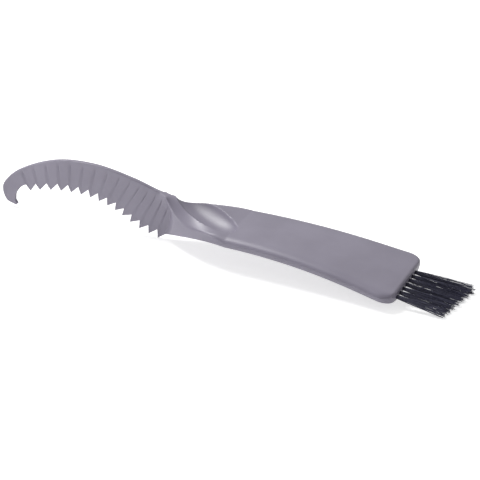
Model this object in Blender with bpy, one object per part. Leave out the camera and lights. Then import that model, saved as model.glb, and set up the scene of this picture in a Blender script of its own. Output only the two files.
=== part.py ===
"""Cassette cleaning brush: a one-piece plastic moulding with a hooked, toothed blade, and a row of
nylon tufts, each held in a blind hole by a flat metal anchor.

Metres, +Z up. The tool is modelled along its own X axis, from the blade's hook at -X to the bristles
at +X, with the mouths of the tuft holes at X = 0. An empty then stands it on its last tooth and on
the tips of its bristles, with the middle of its box over the origin.
"""

import math
import random

import bmesh
import bpy
from mathutils import Matrix, Vector
from mathutils.geometry import delaunay_2d_cdt

# Handle, a flat plate that flares towards the brush
HANDLE_LENGTH = 0.078
HANDLE_WIDTH_NECK = 0.0306
HANDLE_WIDTH_END = 0.0412
HANDLE_THICKNESS = 0.0054
HANDLE_CROWN = 0.0003
CROWN_POWER = 2
FLARE_STRAIGHT_SHARE = 0.32
FLARE_FORWARD = 0.0008
FLARE_FORWARD_POWER = 3
EDGE_RUN = 0.0045
EDGE_FLAT = 0.0004
ARCH_RADIUS = 0.330
ARCH_TOP_FROM_END = 0.033
ARCH_TOP_Z = 0.0030
STRAIGHT_END_LENGTH = 0.020
END_CORNER_RADIUS = 0.0066
END_NOSE_RADIUS = 0.0014
END_EDGE_RUN = 0.0022

# Neck, where both edges draw in and dip to meet the blade. Each share is one of NECK_LENGTH and
# NECK_TAIL together, from the handle
NECK_LENGTH = 0.031
NECK_TAIL = 0.005
FRONT_DIP = 0.0064
FRONT_DIP_END_SHARE = 0.96
BACK_DIP = 0.0050
BACK_DIP_END_SHARE = 1.02
DIP_POWER = 1.9
FRONT_END_SHARE = 1.072
FRONT_POWER = 1.4
BACK_END_SHARE = 1.05
BACK_POWER = 1.45
FOOT_END_SHARE = 0.97
FOOT_POWER = 2.1
FOOT_DROP_POWER = 2.2
HEEL_POWER = 1.6
HEEL_DROP_POWER = 3
FRONT_FULLNESS = 1.5
BACK_FULLNESS = 2.6
TOP_EDGE_RADIUS = 0.0008
LOW_EDGE_RADIUS = 0.0006
FRONT_CREASE_SHARE = 0.25
CORNER_END_SHARE = 0.7
SHELF_START_SHARE = 0.76
SHELF_END_SHARE = 0.90
SHELF_HEIGHT_SHARE = 0.4
SHELF_POWER = 2

# Blade, a thin plate that stands on edge and ends in a hook
BLADE_LENGTH = 0.0882
BLADE_SPAN = 0.0354
SPINE_THICKNESS = 0.0020
SPINE_CORNER = 0.0005
TOOTH_THICKNESS = 0.0014
TOOTH_TIP_THICKNESS = 0.0008
TOOTH_CORNER = 0.00025
TOOTH_COUNT = 15
TOOTH_DEPTH = 0.0043
TOOTH_HOOK_LOSS_SHARE = 0.25
TOOTH_RAKE_SHARE = 0.31

# Along the blade, in teeth from the neck: the spine's place and the valley line's, X as a share of
# BLADE_LENGTH from the neck and Z as a share of BLADE_SPAN above the tool's axis
BLADE_OUTLINE_SHARES = (
    (0, (0.000, 0.143), (0.037, -0.410)),
    (3, (0.105, 0.158), (0.191, -0.351)),
    (6, (0.255, 0.213), (0.332, -0.212)),
    (9, (0.465, 0.228), (0.493, -0.159)),
    (12, (0.689, 0.107), (0.675, -0.226)),
    (15, (0.904, -0.204), (0.861, -0.397)),
    (17, (0.997, -0.488), (0.916, -0.545)),
    (19, (0.980, -0.701), (0.925, -0.667)),
    (21, (0.918, -0.749), (0.912, -0.723)),
)

# Thumb rest, an elongated hollow across the top of the neck, which slopes along and across itself
THUMB_LENGTH = 0.0380
THUMB_WIDTH = 0.0138
THUMB_DEPTH = 0.0036
THUMB_RIM_RISE = 0.0027
THUMB_FROM_HANDLE = 0.0163
THUMB_FORWARD = 0.0004
THUMB_TURN = math.radians(-22)
THUMB_SLOPE_ALONG = 0.06
THUMB_SLOPE_ACROSS = 0.12
THUMB_END_POWER = 2.6

# Bristles and what holds them
TUFT_COUNT = 7
TUFT_PITCH = 0.00353
TUFT_ROW_FORWARD = 0.0024
TUFT_DIAMETER = 0.0018
TUFT_ROOT_INSET = 0.0022
TUFT_SPREAD_Y = 1.86
TUFT_SPREAD_Z = 2.30
TUFT_SPREAD_POWER = 1.3
HOLE_CLEARANCE = 0.0003
HOLE_DEPTH = 0.0120
STRAND_COUNT = 50
STRAND_DIAMETER = 0.00019
STRAND_RIM = 0.00008
STRAND_SWAY = 0.00004
BRISTLE_LENGTH = 0.0233
BRISTLE_SLANT = 0.0044
BRISTLE_RAGGED = 0.0007
ROW_FAN = 0.0010
ANCHOR_LENGTH = 0.0028
ANCHOR_WIDTH = 0.0016
ANCHOR_THICKNESS = 0.00035
ANCHOR_CLEARANCE = 0.0002
ANCHOR_FROM_BOTTOM = 0.0011

# Mesh steps along the moulding and round one section of it, and round a hole or a tuft
HANDLE_STEPS = 7
END_STEPS = 5
NECK_STEPS = 26
HOOK_STEPS = 12
CORNER_STEPS = 3
FRONT_STEPS = 6
BOTTOM_STEPS = 4
BACK_STEPS = 3
TOP_STEPS = 10
THUMB_STEPS = 36
ROUND_STEPS = 16
STRAND_SIDES = 3
STRAND_STEPS = 2
REST_STEPS = 20

# Worked out from the sizes above
NECK_X = -HANDLE_LENGTH
BLADE_X = NECK_X - NECK_LENGTH
VALLEY_X = BLADE_X - BLADE_OUTLINE_SHARES[0][2][0] * BLADE_LENGTH
HALF_THICKNESS = HANDLE_THICKNESS / 2
TUFT_RADIUS = TUFT_DIAMETER / 2
HOLE_RADIUS = TUFT_RADIUS + HOLE_CLEARANCE
HOLE_X = -HOLE_DEPTH
ANCHOR_X = HOLE_X + ANCHOR_FROM_BOTTOM + ANCHOR_WIDTH / 2


def clear_scene():
    for old in list(bpy.data.objects):
        bpy.data.objects.remove(old, do_unlink=True)


def make_material(name, colour, roughness, metallic=0.0):
    material = bpy.data.materials.new(name)
    material.use_nodes = True
    shader = material.node_tree.nodes["Principled BSDF"]
    shader.inputs["Base Color"].default_value = (*colour, 1.0)
    shader.inputs["Roughness"].default_value = roughness
    shader.inputs["Metallic"].default_value = metallic
    return material


def make_object(name, mesh, material, parent):
    """Turns a bmesh into a named object on the stand, smooth but for its sharp edges."""
    bmesh.ops.recalc_face_normals(mesh, faces=mesh.faces)
    data = bpy.data.meshes.new(name)
    mesh.to_mesh(data)
    mesh.free()
    data.materials.append(material)
    data.shade_smooth()
    data.set_sharp_from_angle(angle=math.radians(35))
    made = bpy.data.objects.new(name, data)
    made.parent = parent
    bpy.context.scene.collection.objects.link(made)
    return made


def cut(target, name, cutter):
    """Takes the cutter's shape out of the target."""
    cutter.hide_render = True
    cutter.display_type = "WIRE"
    modifier = target.modifiers.new(name, "BOOLEAN")
    modifier.operation = "DIFFERENCE"
    modifier.solver = "EXACT"
    modifier.object = cutter


def blend(first, last, share):
    return first + (last - first) * share


def clamp(share):
    return min(max(share, 0.0), 1.0)


def ease(share):
    """0 to 1 with flat ends."""
    share = clamp(share)
    return share * share * (3 - 2 * share)


def arch_z(x):
    """Height of the handle's middle: an arc, then straight on to the brush end."""
    bent_x = min(x, -STRAIGHT_END_LENGTH)
    from_top = bent_x + ARCH_TOP_FROM_END
    return ARCH_TOP_Z - from_top**2 / (2 * ARCH_RADIUS) - from_top / ARCH_RADIUS * (x - bent_x)


def handle_half_width(x):
    share = (x - NECK_X) / HANDLE_LENGTH
    flare = FLARE_STRAIGHT_SHARE * share + (1 - FLARE_STRAIGHT_SHARE) * share * share
    return blend(HANDLE_WIDTH_NECK, HANDLE_WIDTH_END, flare) / 2


def drawn_in(x, radius):
    """How far a rounded end whose last point is at X = 0 has drawn in at x."""
    along = max(x + radius, 0.0)
    return radius - math.sqrt(max(radius * radius - along * along, 0.0))


def crown_at(x):
    """The handle's top is gently crowned. The crown fades out along the neck and at the brush end."""
    into_handle = ease((x - BLADE_X) / NECK_LENGTH)
    into_end = 1 - drawn_in(x, END_CORNER_RADIUS) / END_CORNER_RADIUS
    return HANDLE_CROWN * into_handle * into_end


def section(corners, runs, middle_z, fullness, shelf=(1.0, 1.0)):
    """One closed ring of points. The corners are front top, front bottom, back bottom and back top.
    Each is rounded over its first run on the side before it and its second on the side after it.
    The top rises from its corners to middle_z, and fullness is the power of that curve on its front
    and its back half. The shelf is the share of the front's height within which the front comes back
    from its upper corner to the lower one's plane, and the power of that curve."""

    def side_point(n, share):
        start = corners[n]
        end = corners[(n + 1) % 4]
        point = start.lerp(end, share)
        if n == 0:
            point.y = blend(start.y, end.y, 1 - (1 - min(share / shelf[0], 1.0)) ** shelf[1])
        if n == 3:
            edge_z, power = (start.z, fullness[1]) if share < 0.5 else (end.z, fullness[0])
            point.z = blend(edge_z, middle_z, 1 - abs(2 * share - 1) ** power)
        return point

    sides = (FRONT_STEPS, BOTTOM_STEPS, BACK_STEPS, TOP_STEPS)
    turns = [step * math.pi / 2 / CORNER_STEPS for step in range(CORNER_STEPS + 1)]
    lengths = [(corners[(n + 1) % 4] - corners[n]).length for n in range(4)]
    ring = []
    for n, steps in enumerate(sides):
        first_share = runs[n][1] / lengths[n]
        last_share = 1 - runs[(n + 1) % 4][0] / lengths[n]
        start = side_point((n - 1) % 4, 1 - runs[n][0] / lengths[n - 1]) - corners[n]
        end = side_point(n, first_share) - corners[n]
        ring += [corners[n] + start * (1 - math.sin(a)) + end * (1 - math.cos(a)) for a in turns]
        for step in range(1, steps):
            ring.append(side_point(n, blend(first_share, last_share, step / steps)))
    return ring


def handle_section(x):
    end_share = drawn_in(x, END_CORNER_RADIUS) / END_CORNER_RADIUS
    half = handle_half_width(x) - drawn_in(x, END_CORNER_RADIUS)
    height = HALF_THICKNESS - drawn_in(x, END_NOSE_RADIUS)
    along = blend(EDGE_RUN, END_EDGE_RUN, end_share)
    upright = height * (HALF_THICKNESS - EDGE_FLAT) / HALF_THICKNESS
    top = arch_z(x) + height
    bottom = arch_z(x) - height
    middle = -FLARE_FORWARD * ((x - NECK_X) / HANDLE_LENGTH) ** FLARE_FORWARD_POWER
    corners = [Vector((x, middle - half, top)), Vector((x, middle - half, bottom))]
    corners += [Vector((x, middle + half, bottom)), Vector((x, middle + half, top))]
    runs = [(along, upright), (upright, along)] * 2
    return section(corners, runs, top + crown_at(x), (CROWN_POWER, CROWN_POWER))


def neck_share(x):
    """0 at the handle and 1 where the blade has its own thickness."""
    return (NECK_X - x) / (NECK_LENGTH + NECK_TAIL)


def narrowed(x, end_share, power, last_half):
    """Half width at one edge of the neck, from the handle's to the blade's."""
    share = clamp(neck_share(x) / end_share)
    return blend(handle_half_width(NECK_X), last_half, share**power)


def dipped(share, end_share):
    """How far an edge of the neck has dipped, 0 at both ends of the neck and 1 at the deepest."""
    return math.sin(math.pi * clamp(share / end_share) ** DIP_POWER)


def upright_section(top, bottom, bottom_thickness):
    """A section of the neck or blade, whose top and bottom are given as (x, z)."""
    share = neck_share(top.x)
    low_share = clamp((NECK_X - bottom.x) / (NECK_X - VALLEY_X))
    under_z = arch_z(NECK_X) - HALF_THICKNESS
    foot_z = blend(under_z, bottom.y, low_share**FOOT_DROP_POWER)
    heel_z = blend(under_z, bottom.y, low_share**HEEL_DROP_POWER)
    front_dip = dipped(share, FRONT_DIP_END_SHARE)
    back_dip = dipped(share, BACK_DIP_END_SHARE)
    top_half = SPINE_THICKNESS / 2
    low_half = bottom_thickness / 2
    front_y = -narrowed(top.x, FRONT_END_SHARE, FRONT_POWER, top_half)
    back_y = narrowed(top.x, BACK_END_SHARE, BACK_POWER, top_half)
    corners = [
        Vector((top.x, front_y, top.y - FRONT_DIP * front_dip)),
        Vector((bottom.x, -narrowed(bottom.x, FOOT_END_SHARE, FOOT_POWER, low_half), foot_z)),
        Vector((bottom.x, narrowed(bottom.x, 1.0, HEEL_POWER, low_half), heel_z)),
        Vector((top.x, back_y, top.y - BACK_DIP * back_dip)),
    ]
    creased = ease(share / FRONT_CREASE_SHARE)
    sharpened = ease(share / CORNER_END_SHARE)
    upright = HALF_THICKNESS - EDGE_FLAT
    top_edge = blend(TOP_EDGE_RADIUS, SPINE_CORNER, ease(share))
    low_edge = blend(LOW_EDGE_RADIUS, TOOTH_CORNER, ease(share))
    low_along = blend(EDGE_RUN, low_edge, sharpened)
    low_upright = blend(upright, low_edge, sharpened)
    runs = [
        (blend(EDGE_RUN, top_edge, creased), blend(upright, top_edge, creased)),
        (low_upright, low_along),
        (low_along, low_upright),
        (blend(upright, top_edge, sharpened), blend(EDGE_RUN, top_edge, sharpened)),
    ]
    stepped = ease((share - SHELF_START_SHARE) / (SHELF_END_SHARE - SHELF_START_SHARE))
    shelf = (blend(1.0, SHELF_HEIGHT_SHARE, stepped), blend(1.0, SHELF_POWER, stepped))
    front_power = blend(CROWN_POWER, FRONT_FULLNESS, front_dip)
    back_power = blend(CROWN_POWER, BACK_FULLNESS, back_dip)
    return section(corners, runs, top.y + crown_at(top.x), (front_power, back_power), shelf)


def blade_outline(teeth):
    """(spine, valley line) as (x, z), on smooth curves through the outline's points."""
    rows = BLADE_OUTLINE_SHARES
    i = max(n for n in range(len(rows) - 1) if rows[n][0] <= max(teeth, 0))
    span = rows[i + 1][0] - rows[i][0]
    t = (teeth - rows[i][0]) / span
    found = []
    for side in (1, 2):
        slopes = []
        for n in (i, i + 1):
            before = rows[max(n - 1, 0)]
            after = rows[min(n + 1, len(rows) - 1)]
            rise = Vector(after[side]) - Vector(before[side])
            slopes.append(rise * span / (after[0] - before[0]))
        share = Vector(rows[i][side]) * (2 * t**3 - 3 * t**2 + 1) + slopes[0] * (t**3 - 2 * t**2 + t)
        share += Vector(rows[i + 1][side]) * (3 * t**2 - 2 * t**3) + slopes[1] * (t**3 - t**2)
        found.append(Vector((BLADE_X - share.x * BLADE_LENGTH, share.y * BLADE_SPAN)))
    return found


def tooth_tip(teeth):
    """A tooth stands square to the valley line."""
    depth = TOOTH_DEPTH * (1 - TOOTH_HOOK_LOSS_SHARE * (teeth / TOOTH_COUNT) ** 2)
    foot = blade_outline(teeth)[1]
    along = blade_outline(teeth + TOOTH_RAKE_SHARE)[1] - blade_outline(teeth - TOOTH_RAKE_SHARE)[1]
    along.normalize()
    return foot + Vector((-along.y, along.x)) * depth


def moulding_rings():
    """Sections from the brush end to the hook's tip."""
    turns = [step * math.pi / 2 / END_STEPS for step in range(END_STEPS, -1, -1)]
    rings = [handle_section(END_NOSE_RADIUS * (math.sin(a) - 1)) for a in turns]
    corner_x = END_CORNER_RADIUS * (math.sin(math.pi / 4) - 1) - END_NOSE_RADIUS / 2
    rings += [handle_section(x) for x in (corner_x, -END_CORNER_RADIUS)]
    rings += [handle_section(-blend(END_CORNER_RADIUS, STRAIGHT_END_LENGTH, s)) for s in (0.5, 1.0)]
    for step in range(1, HANDLE_STEPS):
        rings.append(handle_section(blend(-STRAIGHT_END_LENGTH, NECK_X, step / HANDLE_STEPS)))
    spine, valley = blade_outline(0)
    handle_top = Vector((NECK_X, arch_z(NECK_X) + HALF_THICKNESS))
    for step in range(NECK_STEPS):
        share = step / NECK_STEPS
        top = Vector((blend(NECK_X, spine.x, share), blend(handle_top.y, spine.y, ease(share))))
        bottom = Vector((blend(NECK_X, valley.x, share), valley.y))
        rings.append(upright_section(top, bottom, TOOTH_THICKNESS))
    for tooth in range(TOOTH_COUNT):
        spine, valley = blade_outline(tooth)
        rings.append(upright_section(spine, valley, TOOTH_THICKNESS))
        at_tip = tooth + 0.5 + TOOTH_RAKE_SHARE
        spine = blade_outline(at_tip)[0]
        rings.append(upright_section(spine, tooth_tip(at_tip), TOOTH_TIP_THICKNESS))
    last = BLADE_OUTLINE_SHARES[-1][0]
    for step in range(HOOK_STEPS + 1):
        spine, inner = blade_outline(blend(TOOTH_COUNT, last, step / HOOK_STEPS))
        rings.append(upright_section(spine, inner, TOOTH_THICKNESS))
    return rings


def make_moulding(material, stand):
    mesh = bmesh.new()
    rows = [[mesh.verts.new(point) for point in ring] for ring in moulding_rings()]
    for first, second in zip(rows, rows[1:]):
        for n in range(len(first)):
            mesh.faces.new((first[n - 1], first[n], second[n], second[n - 1]))
    mesh.faces.new(rows[0])
    mesh.faces.new(rows[-1])
    moulding = make_object("handle_and_blade", mesh, material, stand)
    cut(moulding, "thumb rest", make_thumb_cutter(material, stand))
    cut(moulding, "tuft holes", make_hole_cutter(material, stand))
    cut(moulding, "anchor pockets", make_pocket_cutter(material, stand))
    return moulding


def make_thumb_cutter(material, stand):
    """An ellipsoid with blunt ends, sheared so that its rim slopes as the thumb rest does."""
    x = NECK_X - THUMB_FROM_HANDLE
    rim_z = arch_z(NECK_X) + HALF_THICKNESS + THUMB_RIM_RISE
    slopes = Matrix.Identity(4)
    slopes[2][0] = -THUMB_SLOPE_ALONG
    slopes[2][1] = -THUMB_SLOPE_ACROSS
    size = Matrix.Diagonal((THUMB_LENGTH / 2, THUMB_WIDTH / 2, THUMB_DEPTH + THUMB_RIM_RISE, 1))
    turn = Matrix.Rotation(THUMB_TURN, 4, "Z")
    mesh = bmesh.new()
    bmesh.ops.create_uvsphere(mesh, u_segments=THUMB_STEPS, v_segments=THUMB_STEPS // 2, radius=1)
    for vert in mesh.verts:
        vert.co.x = math.copysign(abs(vert.co.x) ** (2 / THUMB_END_POWER), vert.co.x)
    mesh.transform(Matrix.Translation((x, -THUMB_FORWARD, rim_z)) @ turn @ slopes @ size)
    return make_object("thumb_rest_cutter", mesh, material, stand)


def tuft_places():
    """(number, middle of the hole's mouth) of each tuft, from front to back."""
    z = arch_z(0)
    for n in range(TUFT_COUNT):
        from_middle = n - (TUFT_COUNT - 1) / 2
        yield n + 1, Vector((0, from_middle * TUFT_PITCH - TUFT_ROW_FORWARD, z))


def add_box(mesh, centre, size):
    place = Matrix.Translation(centre) @ Matrix.Diagonal((*size, 1))
    bmesh.ops.create_cube(mesh, size=1, matrix=place)


def anchor_space():
    """Size of the room that an anchor needs round it."""
    gap = 2 * ANCHOR_CLEARANCE
    return Vector((ANCHOR_WIDTH + gap, ANCHOR_THICKNESS + gap, ANCHOR_LENGTH + gap))


def make_hole_cutter(material, stand):
    mesh = bmesh.new()
    length = 2 * HOLE_DEPTH
    for _, mouth in tuft_places():
        place = Matrix.Translation(mouth) @ Matrix.Rotation(math.pi / 2, 4, "Y")
        bmesh.ops.create_cone(
            mesh, cap_ends=True, segments=ROUND_STEPS, radius1=HOLE_RADIUS, radius2=HOLE_RADIUS,
            depth=length, matrix=place,
        )
    return make_object("tuft_hole_cutter", mesh, material, stand)


def make_pocket_cutter(material, stand):
    mesh = bmesh.new()
    for _, mouth in tuft_places():
        add_box(mesh, mouth + Vector((ANCHOR_X, 0, 0)), anchor_space())
    return make_object("anchor_pocket_cutter", mesh, material, stand)


def make_anchor(number, mouth, material, stand):
    """A short piece of flat metal wire, driven across the bottom of a hole."""
    mesh = bmesh.new()
    size = (ANCHOR_WIDTH, ANCHOR_THICKNESS, ANCHOR_LENGTH)
    add_box(mesh, mouth + Vector((ANCHOR_X, 0, 0)), size)
    return make_object(f"tuft_anchor_{number}", mesh, material, stand)


def strand_roots():
    """Places of the strands in a tuft, on a triangular lattice inside a circle of radius 1."""
    room = TUFT_RADIUS - STRAND_DIAMETER / 2 - STRAND_RIM
    spacing = math.sqrt(math.pi * room * room / (STRAND_COUNT * math.sqrt(3) / 2))
    reach = range(-STRAND_COUNT, STRAND_COUNT + 1)
    centre = Vector((1 / 2, 1 / math.sqrt(12)))
    lattice = [Vector((i + j / 2, j * math.sqrt(3) / 2)) - centre for i in reach for j in reach]
    lattice.sort(key=lambda point: (round(point.length, 4), round(point.y, 4), round(point.x, 4)))
    return [point * spacing / TUFT_RADIUS for point in lattice[:STRAND_COUNT]]


def strand_shape():
    """Corners of a strand's section, in metres."""
    turns = [math.pi / 2 + side * 2 * math.pi / STRAND_SIDES for side in range(STRAND_SIDES)]
    return [Vector((math.cos(a), math.sin(a))) * STRAND_DIAMETER / 2 for a in turns]


def make_tuft(number, mouth, material, stand):
    """One tuft: a root that fills its hole round the anchor, and strands that fan out of it."""
    mesh = bmesh.new()
    chance = random.Random(number)
    row_share = (number - 1) / max(TUFT_COUNT - 1, 1) * 2 - 1
    root_front = -TUFT_ROOT_INSET
    turns = [step * 2 * math.pi / ROUND_STEPS for step in range(ROUND_STEPS)]
    rim = [Vector((math.cos(a), math.sin(a))) for a in turns]
    roots = strand_roots()
    ragged = [chance.uniform(-BRISTLE_RAGGED, BRISTLE_RAGGED) for _ in roots]
    sways = [Vector([chance.uniform(-STRAND_SWAY, STRAND_SWAY) for _ in range(2)]) for _ in roots]
    flat = list(rim)
    bases = []
    for root in roots:
        bases.append(list(range(len(flat), len(flat) + STRAND_SIDES)))
        flat += [root + corner / TUFT_RADIUS for corner in strand_shape()]
    points, _, faces, _, _, origins = delaunay_2d_cdt(flat, [], bases, 0, 1e-6)

    def placed(point, x):
        return mouth + Vector((x, point.x * TUFT_RADIUS, point.y * TUFT_RADIUS))

    front = [mesh.verts.new(placed(point, root_front)) for point in points]
    back = [mesh.verts.new(placed(point, HOLE_X + HOLE_CLEARANCE)) for point in rim]
    rim_front = [front[n] for n in range(ROUND_STEPS)]
    mesh.faces.new(back)
    for n in range(ROUND_STEPS):
        mesh.faces.new((back[n - 1], back[n], rim_front[n], rim_front[n - 1]))
    for face, origin in zip(faces, origins):
        base = [front[n] for n in face]
        if not origin:
            mesh.faces.new(base)
            continue
        root = roots[origin[0]]
        sway = sways[origin[0]]
        length = BRISTLE_LENGTH + row_share * BRISTLE_SLANT / 2 + ragged[origin[0]]
        previous = base
        for step in range(1, STRAND_STEPS + 1):
            share = step / STRAND_STEPS
            out = share**TUFT_SPREAD_POWER
            out_y = root.x * TUFT_RADIUS * (TUFT_SPREAD_Y - 1) + row_share * ROW_FAN
            out_z = root.y * TUFT_RADIUS * (TUFT_SPREAD_Z - 1)
            shift = Vector(((length - root_front) * share, out_y * out, out_z * out))
            shift.yz += sway * share
            ring = [mesh.verts.new(vert.co + shift) for vert in base]
            for n in range(STRAND_SIDES):
                mesh.faces.new((previous[n - 1], previous[n], ring[n], ring[n - 1]))
            previous = ring
        mesh.faces.new(previous)
    tuft = make_object(f"bristle_tuft_{number}", mesh, material, stand)
    window = bmesh.new()
    add_box(window, mouth + Vector((ANCHOR_X, 0, 0)), anchor_space())
    cut(tuft, "fold round the anchor", make_object(f"fold_cutter_{number}", window, material, stand))
    return tuft


def points_of(pieces):
    """Every point of the pieces as they are cut, before they are stood up."""
    graph = bpy.context.evaluated_depsgraph_get()
    found = []
    for piece in pieces:
        evaluated = piece.evaluated_get(graph)
        found += [vert.co.copy() for vert in evaluated.to_mesh().vertices]
        evaluated.to_mesh_clear()
    return found


def lowest(points, up):
    return min(points, key=lambda point: point.dot(up))


def stand_up(stand, blade_points, bristle_points):
    """Turns the tool so that a tooth and the lowest bristles on both sides share one level, then
    moves it so that this level is Z = 0 and the middle of its box is over the origin."""
    middle_y = -TUFT_ROW_FORWARD
    back_points = [point for point in bristle_points if point.y > middle_y]
    front_points = [point for point in bristle_points if point.y < middle_y]
    up = Vector((0, 0, 1))
    for _ in range(REST_STEPS):
        tooth = lowest(blade_points, up)
        to_back = lowest(back_points, up) - tooth
        to_front = lowest(front_points, up) - tooth
        up = to_front.cross(to_back).normalized()
    turn = up.rotation_difference(Vector((0, 0, 1)))
    turned = [turn @ point for point in blade_points + bristle_points]
    low = Vector([min(point[axis] for point in turned) for axis in range(3)])
    high = Vector([max(point[axis] for point in turned) for axis in range(3)])
    stand.rotation_mode = "QUATERNION"
    stand.rotation_quaternion = turn
    stand.location = (-(low.x + high.x) / 2, -(low.y + high.y) / 2, -low.z)


def main():
    clear_scene()
    plastic = make_material("grey plastic", (0.30, 0.285, 0.33), 0.45)
    nylon = make_material("black nylon", (0.012, 0.012, 0.016), 0.4)
    wire = make_material("steel wire", (0.55, 0.55, 0.56), 0.35, 1.0)
    stand = bpy.data.objects.new("stand", None)
    bpy.context.scene.collection.objects.link(stand)
    moulding = make_moulding(plastic, stand)
    tufts = [make_tuft(number, mouth, nylon, stand) for number, mouth in tuft_places()]
    for number, mouth in tuft_places():
        make_anchor(number, mouth, wire, stand)
    bpy.context.view_layer.update()
    stand_up(stand, points_of([moulding]), points_of(tufts))


main()
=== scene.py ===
import math
import random

import bmesh
import bpy
from mathutils import Euler, Matrix, Vector
from mathutils.geometry import delaunay_2d_cdt


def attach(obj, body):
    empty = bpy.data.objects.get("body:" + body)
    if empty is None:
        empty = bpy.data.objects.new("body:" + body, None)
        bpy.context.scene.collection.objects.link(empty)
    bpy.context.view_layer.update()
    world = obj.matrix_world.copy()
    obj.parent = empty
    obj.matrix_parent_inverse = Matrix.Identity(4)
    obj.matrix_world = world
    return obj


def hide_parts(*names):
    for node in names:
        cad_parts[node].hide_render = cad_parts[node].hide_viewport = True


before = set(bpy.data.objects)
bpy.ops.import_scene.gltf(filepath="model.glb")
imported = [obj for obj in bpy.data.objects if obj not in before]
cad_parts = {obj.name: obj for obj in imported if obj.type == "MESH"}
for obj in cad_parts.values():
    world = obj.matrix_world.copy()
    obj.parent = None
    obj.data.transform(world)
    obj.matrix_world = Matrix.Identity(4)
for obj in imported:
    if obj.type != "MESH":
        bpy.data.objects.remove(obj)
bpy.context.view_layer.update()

# The moulding: handle, neck and blade come out of one mould in a warm grey, lightly textured plastic.
# The handle is a flat plate with round edges, a little crowned and bowed along its length. It flares
# towards the brush, where its corners are round and its underside draws in. The holes' mouths are at X = 0.
HANDLE_LENGTH = 0.078
HANDLE_WIDTH_NECK = 0.0306
HANDLE_WIDTH_END = 0.0412
FLARE_STRAIGHT_SHARE = 0.32
FLARE_FORWARD = 0.0008
FLARE_FORWARD_POWER = 3
HALF_THICKNESS = 0.0027
HANDLE_CROWN = 0.0003
CROWN_POWER = 2
EDGE_RUN = 0.0045
EDGE_FLAT = 0.0004
UNDER_INSET_NECK = 0.0002
UNDER_INSET_END = 0.0015
UNDER_INSET_POWER = 2
END_CORNER = 0.0066
END_NOSE = 0.0014
END_EDGE_RUN = 0.0022
END_STRAIGHT = 0.020
BOW_RADIUS = 0.330
BOW_TOP_X = -0.033
BOW_TOP_Z = 0.0030
NECK_X = -HANDLE_LENGTH


def blend(first, last, share):
    return first + (last - first) * share


def clamp(share):
    return min(max(share, 0.0), 1.0)


def ease(share):
    """0 to 1 with flat ends."""
    share = clamp(share)
    return share * share * (3 - 2 * share)


def handle_middle_z(x):
    """Height of the handle's middle: an arc, then straight on to the brush end."""
    bent_x = min(x, -END_STRAIGHT)
    from_top = bent_x - BOW_TOP_X
    return BOW_TOP_Z - from_top**2 / (2 * BOW_RADIUS) - from_top / BOW_RADIUS * (x - bent_x)


def handle_half_width(x):
    share = (x - NECK_X) / HANDLE_LENGTH
    flare = FLARE_STRAIGHT_SHARE * share + (1 - FLARE_STRAIGHT_SHARE) * share * share
    return blend(HANDLE_WIDTH_NECK, HANDLE_WIDTH_END, flare) / 2


def drawn_in(x, radius):
    """How far a rounded end whose last point is at X = 0 has drawn in at x."""
    along = max(x + radius, 0.0)
    return radius - math.sqrt(max(radius * radius - along * along, 0.0))


# The neck draws the plate in from both sides and dips both its edges to meet the upright blade.
# Foot and heel are the neck's lower edges, in front and behind. Each share but the shelf's height
# is one of the neck and its tail together, from the handle.
NECK_LENGTH = 0.031
NECK_TAIL = 0.005
FRONT_DIP = 0.0064
FRONT_DIP_END_SHARE = 0.96
BACK_DIP = 0.0050
BACK_DIP_END_SHARE = 1.02
DIP_POWER = 1.9
FRONT_END_SHARE = 1.072
FRONT_POWER = 1.4
BACK_END_SHARE = 1.05
BACK_POWER = 1.45
FOOT_END_SHARE = 0.97
FOOT_POWER = 2.1
FOOT_DROP_POWER = 2.2
HEEL_END_SHARE = 1.0
HEEL_POWER = 1.6
HEEL_DROP_POWER = 3
FRONT_FULLNESS = 1.5
BACK_FULLNESS = 2.6
TOP_EDGE_RADIUS = 0.0008
LOW_EDGE_RADIUS = 0.0006
FRONT_CREASE_SHARE = 0.25
CORNER_END_SHARE = 0.7
SHELF_START_SHARE = 0.76
SHELF_END_SHARE = 0.90
SHELF_HEIGHT_SHARE = 0.4
SHELF_POWER = 2
BLADE_X = NECK_X - NECK_LENGTH


def neck_share(x):
    """0 at the handle and 1 where the blade has its own thickness."""
    return (NECK_X - x) / (NECK_LENGTH + NECK_TAIL)


def narrowed(x, end_share, power, last_half):
    """Half width at one edge of the neck, from the handle's to the blade's."""
    share = clamp(neck_share(x) / end_share)
    return blend(handle_half_width(NECK_X), last_half, share**power)


def dipped(share, end_share):
    """How far an edge of the neck has dipped, 0 at both its ends and 1 at its deepest."""
    return math.sin(math.pi * clamp(share / end_share) ** DIP_POWER)


def crown_at(x):
    """The crown along the handle's top, which fades out along the neck and at the brush end."""
    return HANDLE_CROWN * ease((x - BLADE_X) / NECK_LENGTH) * (1 - drawn_in(x, END_CORNER) / END_CORNER)


# The thumb rest is an elongated hollow, pressed aslant across the neck's top, with a soft rim.
# Its rim slopes along and across it, and its floor is deepest near the front edge and the blade.
THUMB_HALF_LENGTH = 0.0190
THUMB_HALF_WIDTH = 0.0069
THUMB_DEEP = 0.0066
THUMB_RISE = 0.0027
THUMB_FROM_HANDLE = 0.0163
THUMB_FORWARD = 0.0004
THUMB_TURN = math.radians(-22)
THUMB_END_POWER = 2.6
THUMB_RIM = 0.0003
THUMB_TILT = 0.06
THUMB_LEAN = 0.12
THUMB_SLANT = 0.35
THUMB_SINK = 0.10


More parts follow.
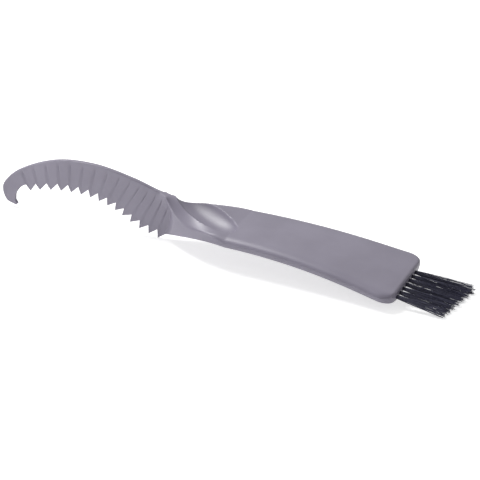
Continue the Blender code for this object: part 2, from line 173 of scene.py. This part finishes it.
def thumb_rest_z(point):
    """The top's height where the thumb rest is hollowed out of it."""
    centre = Vector((NECK_X - THUMB_FROM_HANDLE, -THUMB_FORWARD))
    away = Matrix.Rotation(-THUMB_TURN, 2) @ (point.xy - centre)
    along = away.x / THUMB_HALF_LENGTH
    across = away.y / THUMB_HALF_WIDTH
    left = 1 - abs(along) ** THUMB_END_POWER - across**2
    if left <= 0:
        return point.z
    rim_z = handle_middle_z(NECK_X) + HALF_THICKNESS + THUMB_RISE - THUMB_TILT * away.x - THUMB_LEAN * away.y
    deepened = 1 - THUMB_SLANT * across - THUMB_SINK * along
    floor_z = rim_z - THUMB_DEEP * math.sqrt(left) * deepened
    near = clamp(0.5 + (floor_z - point.z) / THUMB_RIM / 2)
    return blend(floor_z, point.z, near) - THUMB_RIM * near * (1 - near)


# The blade is a plate on edge, thicker at its spine than at its fifteen raked teeth, and ends in a hook.
# Each tooth has its own shallow flute up both sides of the blade. The outline's rows give, in teeth
# from the neck, the spine's and the valley line's places, as shares of the blade's length and span.
BLADE_LENGTH = 0.0882
BLADE_SPAN = 0.0354
SPINE_THICKNESS = 0.0020
SPINE_CORNER = 0.0005
TOOTH_THICKNESS = 0.0014
TOOTH_TIP_THICKNESS = 0.0008
TOOTH_CORNER = 0.00025
TOOTH_COUNT = 15
TOOTH_DEPTH = 0.0043
TOOTH_HOOK_LOSS_SHARE = 0.25
TOOTH_RAKE_SHARE = 0.31
FLUTE_DEPTH = 0.00020
FLUTE_HALF_WIDTH_SHARE = 0.09
FLUTE_TOP_SHARE = 0.10
FLUTE_TOP_FADE_SHARE = 0.06
FLUTE_LOW_SHARE = 0.60
FLUTE_LOW_FADE_SHARE = 0.25
FLUTE_SHORTER_SHARE = 0.013
BLADE_OUTLINE_SHARES = (
    (0, (0.000, 0.143), (0.037, -0.410)),
    (3, (0.105, 0.158), (0.191, -0.351)),
    (6, (0.255, 0.213), (0.332, -0.212)),
    (9, (0.465, 0.228), (0.493, -0.159)),
    (12, (0.689, 0.107), (0.675, -0.226)),
    (15, (0.904, -0.204), (0.861, -0.397)),
    (17, (0.997, -0.488), (0.916, -0.545)),
    (19, (0.980, -0.701), (0.925, -0.667)),
    (21, (0.918, -0.749), (0.912, -0.723)),
)
VALLEY_X = BLADE_X - BLADE_OUTLINE_SHARES[0][2][0] * BLADE_LENGTH


def blade_outline(teeth):
    """(spine, valley line) as (x, z), on smooth curves through the outline's points."""
    rows = BLADE_OUTLINE_SHARES
    i = max(n for n in range(len(rows) - 1) if rows[n][0] <= max(teeth, 0))
    span = rows[i + 1][0] - rows[i][0]
    t = (teeth - rows[i][0]) / span
    found = []
    for side in (1, 2):
        slopes = []
        for n in (i, i + 1):
            before, after = rows[max(n - 1, 0)], rows[min(n + 1, len(rows) - 1)]
            slopes.append((Vector(after[side]) - Vector(before[side])) * span / (after[0] - before[0]))
        share = Vector(rows[i][side]) * (2 * t**3 - 3 * t**2 + 1) + slopes[0] * (t**3 - 2 * t**2 + t)
        share += Vector(rows[i + 1][side]) * (3 * t**2 - 2 * t**3) + slopes[1] * (t**3 - t**2)
        found.append(Vector((BLADE_X - share.x * BLADE_LENGTH, share.y * BLADE_SPAN)))
    return found


def tooth_tip(teeth):
    """A tip's place as (x, z). The teeth get shorter towards the hook."""
    depth = TOOTH_DEPTH * (1 - TOOTH_HOOK_LOSS_SHARE * (teeth / TOOTH_COUNT) ** 2)
    along = blade_outline(teeth + TOOTH_RAKE_SHARE)[1] - blade_outline(teeth - TOOTH_RAKE_SHARE)[1]
    along.normalize()
    return blade_outline(teeth)[1] + Vector((-along.y, along.x)) * depth


def fluted(ring, cut, tooth):
    """Presses a ring's sides in along a flute, which fades towards the spine and the tooth."""
    high = max(point.z for point in ring)
    low = min(point.z for point in ring)
    low_end = FLUTE_LOW_SHARE - FLUTE_SHORTER_SHARE * tooth
    for point in ring:
        down = (high - point.z) / (high - low)
        from_spine = ease((down - FLUTE_TOP_SHARE) / FLUTE_TOP_FADE_SHARE)
        from_tooth = ease((low_end - down) / FLUTE_LOW_FADE_SHARE)
        point.y -= math.copysign(FLUTE_DEPTH * cut * from_spine * from_tooth, point.y)
    return ring


# The moulding is drawn as a run of closed rings from the brush end to the hook's tip. Each ring has
# four rounded corners, and most of its points along the top, where the thumb rest is pressed in.
FRONT_STEPS = 26
UNDER_STEPS = 10
BACK_STEPS = 14
TOP_STEPS = 60
CORNER_STEPS = 7
NOSE_STEPS = 8
END_CORNER_STEPS = 10
HANDLE_STEPS = 36
THUMB_END_STEPS = 14
THUMB_END_REACH = 0.0040
NECK_STEPS = 80
LONG_FLANK_STEPS = 10
SHORT_FLANK_STEPS = 4
HOOK_STEPS = 40


def ring_round(corners, runs, middle_z, fullness, shelf=(1.0, 1.0)):
    """A closed ring through rounded corners: front top, front bottom, back bottom and back top.
    The top rises from both edges to middle_z, each side with its own fullness. The front comes back
    from its upper corner to the lower one's plane within a share of its height, as a shelf does."""

    def side_point(n, share):
        start, end = corners[n], corners[(n + 1) % 4]
        point = start.lerp(end, share)
        if n == 0:
            point.y = blend(start.y, end.y, 1 - (1 - min(share / shelf[0], 1)) ** shelf[1])
        if n == 3:
            edge_z, full = (start.z, fullness[1]) if share < 0.5 else (end.z, fullness[0])
            point.z = blend(edge_z, middle_z, 1 - abs(2 * share - 1) ** full)
        return point

    turns = [step * math.pi / 2 / CORNER_STEPS for step in range(CORNER_STEPS + 1)]
    lengths = [(corners[(n + 1) % 4] - corners[n]).length for n in range(4)]
    ring = []
    for n, steps in enumerate((FRONT_STEPS, UNDER_STEPS, BACK_STEPS, TOP_STEPS)):
        before = side_point((n - 1) % 4, 1 - runs[n][0] / lengths[n - 1]) - corners[n]
        after = side_point(n, runs[n][1] / lengths[n]) - corners[n]
        ring += [corners[n] + before * (1 - math.sin(a)) + after * (1 - math.cos(a)) for a in turns]
        first_share, last_share = runs[n][1] / lengths[n], 1 - runs[(n + 1) % 4][0] / lengths[n]
        for step in range(1, steps):
            ring.append(side_point(n, blend(first_share, last_share, step / steps)))
    return ring


def handle_ring(x):
    share = (x - NECK_X) / HANDLE_LENGTH
    end_share = drawn_in(x, END_CORNER) / END_CORNER
    half = handle_half_width(x) - drawn_in(x, END_CORNER)
    under = half - blend(UNDER_INSET_NECK, UNDER_INSET_END, share**UNDER_INSET_POWER)
    height = HALF_THICKNESS - drawn_in(x, END_NOSE)
    along = blend(EDGE_RUN, END_EDGE_RUN, end_share)
    upright = height * (HALF_THICKNESS - EDGE_FLAT) / HALF_THICKNESS
    middle = -FLARE_FORWARD * share**FLARE_FORWARD_POWER
    z = handle_middle_z(x)
    places = ((-half, height), (-under, -height), (under, -height), (half, height))
    corners = [Vector((x, middle + y, z + up)) for y, up in places]
    runs = [(along, upright), (upright, along), (along, upright), (upright, along)]
    return ring_round(corners, runs, z + height + crown_at(x), (CROWN_POWER, CROWN_POWER))


def upright_ring(top, bottom, bottom_thickness, cut=0.0, tooth=0):
    """A ring of the neck or the blade, from its top and bottom as (x, z)."""
    share = neck_share(top.x)
    low_share = clamp((NECK_X - bottom.x) / (NECK_X - VALLEY_X))
    under_z = handle_middle_z(NECK_X) - HALF_THICKNESS
    foot_z = blend(under_z, bottom.y, low_share**FOOT_DROP_POWER)
    heel_z = blend(under_z, bottom.y, low_share**HEEL_DROP_POWER)
    front_dip = dipped(share, FRONT_DIP_END_SHARE)
    back_dip = dipped(share, BACK_DIP_END_SHARE)
    top_half = SPINE_THICKNESS / 2
    low_half = bottom_thickness / 2
    inset = UNDER_INSET_NECK * (1 - ease(share))
    front_y = -narrowed(top.x, FRONT_END_SHARE, FRONT_POWER, top_half)
    foot_y = inset - narrowed(bottom.x, FOOT_END_SHARE, FOOT_POWER, low_half)
    heel_y = narrowed(bottom.x, HEEL_END_SHARE, HEEL_POWER, low_half) - inset
    back_y = narrowed(top.x, BACK_END_SHARE, BACK_POWER, top_half)
    corners = [
        Vector((top.x, front_y, top.y - FRONT_DIP * front_dip)),
        Vector((bottom.x, foot_y, foot_z)),
        Vector((bottom.x, heel_y, heel_z)),
        Vector((top.x, back_y, top.y - BACK_DIP * back_dip)),
    ]
    creased = ease(share / FRONT_CREASE_SHARE)
    sharpened = ease(share / CORNER_END_SHARE)
    upright = HALF_THICKNESS - EDGE_FLAT
    top_edge = blend(TOP_EDGE_RADIUS, SPINE_CORNER, ease(share))
    low_edge = blend(LOW_EDGE_RADIUS, TOOTH_CORNER, ease(share))
    low_along = blend(EDGE_RUN, low_edge, sharpened)
    low_upright = blend(upright, low_edge, sharpened)
    runs = [
        (blend(EDGE_RUN, top_edge, creased), blend(upright, top_edge, creased)),
        (low_upright, low_along),
        (low_along, low_upright),
        (blend(upright, top_edge, sharpened), blend(EDGE_RUN, top_edge, sharpened)),
    ]
    fullness = (blend(CROWN_POWER, FRONT_FULLNESS, front_dip), blend(CROWN_POWER, BACK_FULLNESS, back_dip))
    stepped = ease((share - SHELF_START_SHARE) / (SHELF_END_SHARE - SHELF_START_SHARE))
    shelf = (blend(1.0, SHELF_HEIGHT_SHARE, stepped), blend(1.0, SHELF_POWER, stepped))
    ring = ring_round(corners, runs, top.y + crown_at(top.x), fullness, shelf)
    return fluted(ring, cut, tooth) if cut else ring


def end_and_handle_rings():
    """From the brush end, over its round nose and corners, to the neck. The rings stand closer
    where the thumb rest's end reaches into the handle."""
    turns = [math.pi / 2 * (1 - step / NOSE_STEPS) for step in range(NOSE_STEPS + 1)]
    places = [END_NOSE * (math.sin(turn) - 1) for turn in turns]
    for step in range(1, END_CORNER_STEPS + 1):
        places.append(-blend(END_NOSE, END_CORNER, ease(step / END_CORNER_STEPS)))
    for step in range(1, HANDLE_STEPS + 1):
        places.append(blend(-END_CORNER, NECK_X + THUMB_END_REACH, step / HANDLE_STEPS))
    for step in range(1, THUMB_END_STEPS):
        places.append(NECK_X + blend(THUMB_END_REACH, 0, step / THUMB_END_STEPS))
    return [handle_ring(x) for x in places]


def neck_rings():
    rings = []
    spine, valley = blade_outline(0)
    handle_top = handle_middle_z(NECK_X) + HALF_THICKNESS
    for step in range(NECK_STEPS):
        share = step / NECK_STEPS
        top = Vector((blend(NECK_X, spine.x, share), blend(handle_top, spine.y, ease(share))))
        bottom = Vector((blend(NECK_X, valley.x, share), valley.y))
        rings.append(upright_ring(top, bottom, TOOTH_THICKNESS))
    return rings


def tooth_rings(tooth):
    """One tooth's long flank up to its tip and its short one down to the next valley."""
    rings = []
    at_tip = tooth + 0.5 + TOOTH_RAKE_SHARE
    valley, tip, next_valley = blade_outline(tooth)[1], tooth_tip(at_tip), blade_outline(tooth + 1)[1]
    for steps, start, end, first, last in (
        (LONG_FLANK_STEPS, valley, tip, tooth, at_tip),
        (SHORT_FLANK_STEPS, tip, next_valley, at_tip, tooth + 1),
    ):
        for step in range(steps):
            share = step / steps
            from_tip = share if start is tip else 1 - share
            teeth = blend(first, last, share)
            thickness = blend(TOOTH_TIP_THICKNESS, TOOTH_THICKNESS, from_tip)
            cut = max(1 - abs(teeth - at_tip) / FLUTE_HALF_WIDTH_SHARE, 0)
            rings.append(upright_ring(blade_outline(teeth)[0], start.lerp(end, share), thickness, cut, tooth))
    return rings


def hook_rings():
    rings = []
    for step in range(HOOK_STEPS + 1):
        teeth = blend(TOOTH_COUNT, BLADE_OUTLINE_SHARES[-1][0], step / HOOK_STEPS)
        spine, inner = blade_outline(teeth)
        rings.append(upright_ring(spine, inner, TOOTH_THICKNESS))
    return rings


rings = end_and_handle_rings() + neck_rings()
for tooth in range(TOOTH_COUNT):
    rings += tooth_rings(tooth)
rings += hook_rings()
moulding = bmesh.new()
rows = [[moulding.verts.new(point) for point in ring] for ring in rings]
for first, second in zip(rows, rows[1:]):
    for n in range(len(first)):
        moulding.faces.new((first[n - 1], first[n], second[n], second[n - 1]))

# The brush end is flat between its round edges, with one row of seven moulded tuft holes.
# Only the first 2 mm of each hole can be seen, so it goes no deeper here.
TUFT_COUNT = 7
TUFT_PITCH = 0.00353
TUFT_ROW_FORWARD = 0.0024
HOLE_RADIUS = 0.00095
HOLE_DEPTH = 0.0021
HOLE_SIDES = 18
HOLE_INSIDE_SHARE = 0.98
WELD_DISTANCE = 1e-6
SEAM_TOLERANCE = 1e-7


def mouth_place(number):
    """Middle of a tuft hole's mouth, as (y, z). Tuft 1 is the one in front."""
    from_middle = number - (TUFT_COUNT + 1) / 2
    return from_middle * TUFT_PITCH - TUFT_ROW_FORWARD, handle_middle_z(0)


def mouth_round(y, z):
    turns = [side * math.tau / HOLE_SIDES for side in range(HOLE_SIDES)]
    return [(y + math.cos(turn) * HOLE_RADIUS, z + math.sin(turn) * HOLE_RADIUS) for turn in turns]


mouths = [mouth_place(number) for number in range(1, TUFT_COUNT + 1)]
border = [Vector((vert.co.y, vert.co.z)) for vert in rows[0]]
loops = [list(range(len(border)))]
for mouth in mouths:
    loops.append(list(range(len(border), len(border) + HOLE_SIDES)))
    border += [Vector(point) for point in mouth_round(*mouth)]
seams = [(loop[n - 1], loop[n]) for loop in loops for n in range(len(loop))]
flat, _, tiles, *_ = delaunay_2d_cdt(border, seams, [], 1, SEAM_TOLERANCE)
end_verts = [moulding.verts.new((0, point.x, point.y)) for point in flat]
for tile in tiles:
    middle = sum((flat[n] for n in tile), Vector((0, 0))) / len(tile)
    if all((middle - Vector(mouth)).length > HOLE_RADIUS * HOLE_INSIDE_SHARE for mouth in mouths):
        moulding.faces.new([end_verts[n] for n in tile])
for mouth in mouths:
    outer = [moulding.verts.new((0, *point)) for point in mouth_round(*mouth)]
    inner = [moulding.verts.new((-HOLE_DEPTH, *point)) for point in mouth_round(*mouth)]
    for n in range(HOLE_SIDES):
        moulding.faces.new((outer[n - 1], outer[n], inner[n], inner[n - 1]))
    moulding.faces.new(inner)
bmesh.ops.remove_doubles(moulding, verts=moulding.verts, dist=WELD_DISTANCE)
moulding.faces.new(rows[-1])
for vert in moulding.verts:
    vert.co.z = thumb_rest_z(vert.co)

# The plastic is coloured right through, with faint clouds and the mould's fine spark-eroded grain.
GREY_DEEPER = (0.258, 0.238, 0.305, 1)
GREY_PALER = (0.290, 0.268, 0.342, 1)
plastic = bpy.data.materials.new("grey moulded plastic")
plastic.use_nodes = True
nodes, links = plastic.node_tree.nodes, plastic.node_tree.links
shader = nodes["Principled BSDF"]
shader.inputs["Roughness"].default_value = 0.40
shader.inputs["IOR"].default_value = 1.58
place = nodes.new("ShaderNodeTexCoord").outputs["Object"]
cloud = nodes.new("ShaderNodeTexNoise")
cloud.inputs["Scale"].default_value = 60
cloud.inputs["Detail"].default_value = 3
links.new(place, cloud.inputs["Vector"])
shade = nodes.new("ShaderNodeValToRGB")
shade.color_ramp.elements[0].position = 0.35
shade.color_ramp.elements[0].color = GREY_DEEPER
shade.color_ramp.elements[1].position = 0.65
shade.color_ramp.elements[1].color = GREY_PALER
links.new(cloud.outputs["Fac"], shade.inputs["Fac"])
links.new(shade.outputs["Color"], shader.inputs["Base Color"])
grain = nodes.new("ShaderNodeTexNoise")
grain.inputs["Scale"].default_value = 2600
links.new(place, grain.inputs["Vector"])
bump = nodes.new("ShaderNodeBump")
bump.inputs["Strength"].default_value = 0.15
bump.inputs["Distance"].default_value = 0.0001
links.new(grain.outputs["Fac"], bump.inputs["Height"])
links.new(bump.outputs["Normal"], shader.inputs["Normal"])

# The tool is drawn along its own X axis. It lies pitched down onto its last tooth and the tips of its
# bristles, leaning a little forward.
LIE_TURN = Euler((math.radians(1.4068), math.radians(7.4865), math.radians(0.0920)))
LIE_PLACE = Vector((0.085913, 0.000678, 0.002958))
SHARP_TURN = math.radians(32)
lying = Matrix.Translation(LIE_PLACE) @ LIE_TURN.to_matrix().to_4x4()


def lay_down(name, mesh, material, node):
    """Turns a bmesh drawn along the tool's own axis into a piece that lies as the tool does."""
    bmesh.ops.recalc_face_normals(mesh, faces=mesh.faces)
    data = bpy.data.meshes.new(name)
    mesh.to_mesh(data)
    mesh.free()
    data.transform(lying)
    data.materials.append(material)
    data.shade_smooth()
    data.set_sharp_from_angle(angle=SHARP_TURN)
    piece = bpy.data.objects.new(name, data)
    bpy.context.scene.collection.objects.link(piece)
    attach(piece, "root")
    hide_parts(node)


lay_down("moulded_handle_and_blade", moulding, plastic, "handle_and_blade")

# Seven tufts of black nylon bristle, each folded in two and driven into a hole in the brush end.
# They spread a little towards their ragged tips, which are cut aslant, longer at the back.
# A few thinner hairs of the hindmost tuft stray back and up.
TUFT_ROOT_RADIUS = 0.00060
TUFT_TIP_HALF_WIDTH = 0.0017
TUFT_TIP_HALF_HEIGHT = 0.00205
TUFT_ROOT_DEPTH = 0.0020
TUFT_SPREAD_POWER = 0.9
ROW_FAN = 0.0010
BRISTLE_COUNT = 56
BRISTLE_RADIUS = 0.000085
BRISTLE_LENGTH = 0.0233
BRISTLE_SLANT = 0.0044
BRISTLE_SHORTER = 0.0015
BRISTLE_LONGER = 0.0006
BRISTLE_SWAY = 0.0004
BRISTLE_BOW = 0.0003
BRISTLE_STEPS = 7
BRISTLE_SIDES = 5
SPIRAL_TURN = math.pi * (3 - math.sqrt(5))
STRAY_COUNT = 5
STRAY_RADIUS = BRISTLE_RADIUS / 2
STRAY_BACK = (0.0006, 0.0022)
STRAY_UP = (0.0008, 0.0018)
CUTTING_SEED = 40
NYLON_DARKEST = (0.018, 0.018, 0.036, 1)
NYLON_SHEEN = (0.078, 0.078, 0.140, 1)

nylon = bpy.data.materials.new("black nylon bristle")
nylon.use_nodes = True
nodes, links = nylon.node_tree.nodes, nylon.node_tree.links
shader = nodes["Principled BSDF"]
shader.inputs["Roughness"].default_value = 0.38
strand_tone = nodes.new("ShaderNodeTexNoise")
strand_tone.inputs["Scale"].default_value = 900
links.new(nodes.new("ShaderNodeTexCoord").outputs["Object"], strand_tone.inputs["Vector"])
tone = nodes.new("ShaderNodeValToRGB")
tone.color_ramp.elements[0].color = NYLON_DARKEST
tone.color_ramp.elements[1].color = NYLON_SHEEN
links.new(strand_tone.outputs["Fac"], tone.inputs["Fac"])
links.new(tone.outputs["Color"], shader.inputs["Base Color"])


def either_way(chance, reach):
    """A random offset across a tuft."""
    return Vector((0, chance.uniform(-reach, reach), chance.uniform(-reach, reach)))


def add_bristle(tuft, mouth, side, row_share, length, sway, bow, radius):
    """One filament, from inside its hole to its cut tip. Where it would go through the table, it
    lies on it."""
    previous = None
    for step in range(BRISTLE_STEPS + 1):
        share = step / BRISTLE_STEPS
        spread = share**TUFT_SPREAD_POWER
        half_width = blend(TUFT_ROOT_RADIUS, TUFT_TIP_HALF_WIDTH, spread)
        half_height = blend(TUFT_ROOT_RADIUS, TUFT_TIP_HALF_HEIGHT, spread)
        centre = mouth + sway * share * share + bow * 4 * share * (1 - share) + Vector((
            blend(-TUFT_ROOT_DEPTH, length, share),
            side.y * half_width + row_share * ROW_FAN * share,
            side.z * half_height,
        ))
        centre.z -= min((lying @ centre).z - radius, 0)
        turns = [corner * math.tau / BRISTLE_SIDES for corner in range(BRISTLE_SIDES)]
        ring = [tuft.verts.new(centre + Vector((0, math.cos(a), math.sin(a))) * radius) for a in turns]
        if previous:
            for n in range(BRISTLE_SIDES):
                tuft.faces.new((previous[n - 1], previous[n], ring[n], ring[n - 1]))
        else:
            tuft.faces.new(ring)
        previous = ring
    tuft.faces.new(previous)


for number, mouth in enumerate(mouths, 1):
    chance = random.Random(CUTTING_SEED + number)
    row_share = (number - 1) / (TUFT_COUNT - 1) * 2 - 1
    strays = STRAY_COUNT if number == TUFT_COUNT else 0
    tuft = bmesh.new()
    for strand in range(BRISTLE_COUNT + strays):
        angle = strand * SPIRAL_TURN
        out = min(math.sqrt((strand + 0.5) / BRISTLE_COUNT), 1)
        side = Vector((0, math.cos(angle) * out, math.sin(angle) * out))
        length = BRISTLE_LENGTH + row_share * BRISTLE_SLANT / 2
        length += chance.uniform(-BRISTLE_SHORTER, BRISTLE_LONGER)
        sway = either_way(chance, BRISTLE_SWAY)
        bow = either_way(chance, BRISTLE_BOW)
        radius = BRISTLE_RADIUS
        if strand >= BRISTLE_COUNT:
            sway = Vector((0, chance.uniform(*STRAY_BACK), chance.uniform(*STRAY_UP)))
            radius = STRAY_RADIUS
        add_bristle(tuft, Vector((0, *mouth)), side, row_share, length, sway, bow, radius)
    lay_down(f"nylon_tuft_{number}", tuft, nylon, f"bristle_tuft_{number}")

# Seven short pieces of flat steel wire, one across the bottom of each hole, hold the folds.
# They are pressed in and hidden, so they stay as the solids that they are, in dull steel.
STEEL_COLOUR = (0.55, 0.55, 0.56, 1)
steel = bpy.data.materials.new("flat steel wire")
steel.use_nodes = True
nodes, links = steel.node_tree.nodes, steel.node_tree.links
shader = nodes["Principled BSDF"]
shader.inputs["Metallic"].default_value = 1.0
shader.inputs["Base Color"].default_value = STEEL_COLOUR
draw_marks = nodes.new("ShaderNodeTexNoise")
draw_marks.inputs["Scale"].default_value = 1500
links.new(nodes.new("ShaderNodeTexCoord").outputs["Object"], draw_marks.inputs["Vector"])
dullness = nodes.new("ShaderNodeMapRange")
dullness.inputs["To Min"].default_value = 0.25
dullness.inputs["To Max"].default_value = 0.45
links.new(draw_marks.outputs["Fac"], dullness.inputs["Value"])
links.new(dullness.outputs["Result"], shader.inputs["Roughness"])
for number in range(1, TUFT_COUNT + 1):
    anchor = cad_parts[f"tuft_anchor_{number}"]
    for slot in anchor.material_slots:
        slot.material = steel

# A plain pale table top that runs on into the white behind it, and keeps the tool's shadow.
# A glow brings it up to white for the camera, in a gloss and through a clear piece, and lights nothing.
FLOOR_REACH = 3
FLOOR_COLOUR = (0.82, 0.82, 0.82, 1)
FLOOR_GLOW = 0.62
floor_mesh = bmesh.new()
bmesh.ops.create_grid(floor_mesh, x_segments=1, y_segments=1, size=FLOOR_REACH)
floor_data = bpy.data.meshes.new("floor")
floor_mesh.to_mesh(floor_data)
floor_mesh.free()
floor = bpy.data.objects.new("floor", floor_data)
bpy.context.scene.collection.objects.link(floor)
pale = bpy.data.materials.new("pale floor")
pale.use_nodes = True
nodes, links = pale.node_tree.nodes, pale.node_tree.links
matt = nodes["Principled BSDF"]
matt.inputs["Base Color"].default_value = FLOOR_COLOUR
matt.inputs["Roughness"].default_value = 0.9
matt.inputs["Specular IOR Level"].default_value = 0.1
rays = nodes.new("ShaderNodeLightPath")
seen = nodes.new("ShaderNodeMath")
seen.operation = "MAXIMUM"
links.new(rays.outputs["Is Camera Ray"], seen.inputs[0])
links.new(rays.outputs["Is Glossy Ray"], seen.inputs[1])
shown = nodes.new("ShaderNodeMath")
shown.operation = "MAXIMUM"
links.new(seen.outputs["Value"], shown.inputs[0])
links.new(rays.outputs["Is Transmission Ray"], shown.inputs[1])
strength = nodes.new("ShaderNodeMath")
strength.operation = "MULTIPLY"
strength.inputs[1].default_value = FLOOR_GLOW
links.new(shown.outputs["Value"], strength.inputs[0])
glow = nodes.new("ShaderNodeEmission")
links.new(strength.outputs["Value"], glow.inputs["Strength"])
both = nodes.new("ShaderNodeAddShader")
links.new(matt.outputs["BSDF"], both.inputs[0])
links.new(glow.outputs["Emission"], both.inputs[1])
links.new(both.outputs["Shader"], nodes["Material Output"].inputs["Surface"])
floor_data.materials.append(pale)

# The room is white to the camera and through clear pieces, and lights the tool evenly and softly.
# In the plastic's gloss its back wall is bright above the horizon, and its front is dim.
ROOM_LEVEL = 0.34
MIRRORED_FRONT = 0.10
MIRRORED_HORIZON = 0.15
world = bpy.data.worlds.new("soft studio")
bpy.context.scene.world = world
world.use_nodes = True
nodes, links = world.node_tree.nodes, world.node_tree.links
background = nodes["Background"]
background.inputs["Color"].default_value = (1, 1, 1, 1)
directions = nodes.new("ShaderNodeSeparateXYZ")
links.new(nodes.new("ShaderNodeTexCoord").outputs["Generated"], directions.inputs[0])
towards_back = nodes.new("ShaderNodeMapRange")
towards_back.inputs["From Min"].default_value = 0.1
towards_back.inputs["From Max"].default_value = 0.6
towards_back.inputs["To Min"].default_value = MIRRORED_FRONT
towards_back.inputs["To Max"].default_value = 1.0
links.new(directions.outputs["Y"], towards_back.inputs["Value"])
above_horizon = nodes.new("ShaderNodeMapRange")
above_horizon.inputs["From Min"].default_value = 0.05
above_horizon.inputs["From Max"].default_value = 0.50
above_horizon.inputs["To Min"].default_value = MIRRORED_HORIZON
links.new(directions.outputs["Z"], above_horizon.inputs["Value"])
mirrored = nodes.new("ShaderNodeMath")
mirrored.operation = "MULTIPLY"
links.new(towards_back.outputs["Result"], mirrored.inputs[0])
links.new(above_horizon.outputs["Result"], mirrored.inputs[1])
rays = nodes.new("ShaderNodeLightPath")
behind = nodes.new("ShaderNodeMath")
behind.operation = "MAXIMUM"
links.new(rays.outputs["Is Camera Ray"], behind.inputs[0])
links.new(rays.outputs["Is Transmission Ray"], behind.inputs[1])
around = nodes.new("ShaderNodeMath")
around.operation = "MAXIMUM"
around.inputs[1].default_value = ROOM_LEVEL
links.new(behind.outputs["Value"], around.inputs[0])
level = nodes.new("ShaderNodeMix")
links.new(rays.outputs["Is Glossy Ray"], level.inputs["Factor"])
links.new(around.outputs["Value"], level.inputs["A"])
links.new(mirrored.outputs["Value"], level.inputs["B"])
links.new(level.outputs["Result"], background.inputs["Strength"])
bpy.context.scene.view_settings.view_transform = "Standard"

# A large soft lamp stands high on the left and a little behind, and gives the thumb rest its streak.
# A small weak one stands low in front, on the left, and lights the side of the blade.
for name, place, size, power in (
    ("key", (-1.13, 0.22, 1.66), 0.7, 27.0),
    ("blade_side", (-0.35, -0.30, 0.09), 0.15, 0.50),
):
    lamp = bpy.data.lights.new(name, "AREA")
    lamp.size = size
    lamp.energy = power
    lamp_object = bpy.data.objects.new(name, lamp)
    lamp_object.location = place
    lamp_object.rotation_euler = (-Vector(place)).to_track_quat("-Z", "Y").to_euler()
    bpy.context.scene.collection.objects.link(lamp_object)

# The camera looks at the tool from its front right, from above, held a little askew.
# Its place is given from the tool as it was drawn, and is laid down with it.
CAMERA_TARGET = Vector((-0.07705, 0, -0.0054))
CAMERA_DISTANCE = 0.700
CAMERA_ROUND = math.radians(22.823)
CAMERA_ABOVE = math.radians(32.5)
CAMERA_ROLL = math.radians(6)
CAMERA_LENS = 121.6
CAMERA_SENSOR = 36
back = Vector((
    math.sin(CAMERA_ROUND) * math.cos(CAMERA_ABOVE),
    -math.cos(CAMERA_ROUND) * math.cos(CAMERA_ABOVE),
    math.sin(CAMERA_ABOVE),
))
right = Vector((math.cos(CAMERA_ROUND), math.sin(CAMERA_ROUND), 0))
stance = Matrix((right, back.cross(right), back)).transposed().to_4x4()
stance = stance @ Matrix.Rotation(CAMERA_ROLL, 4, "Z")
camera = bpy.data.cameras.new("camera")
camera.sensor_width = CAMERA_SENSOR
camera.lens = CAMERA_LENS
camera_object = bpy.data.objects.new("camera", camera)
camera_object.matrix_world = lying @ Matrix.Translation(CAMERA_TARGET + back * CAMERA_DISTANCE) @ stance
bpy.context.scene.collection.objects.link(camera_object)
bpy.context.scene.camera = camera_object
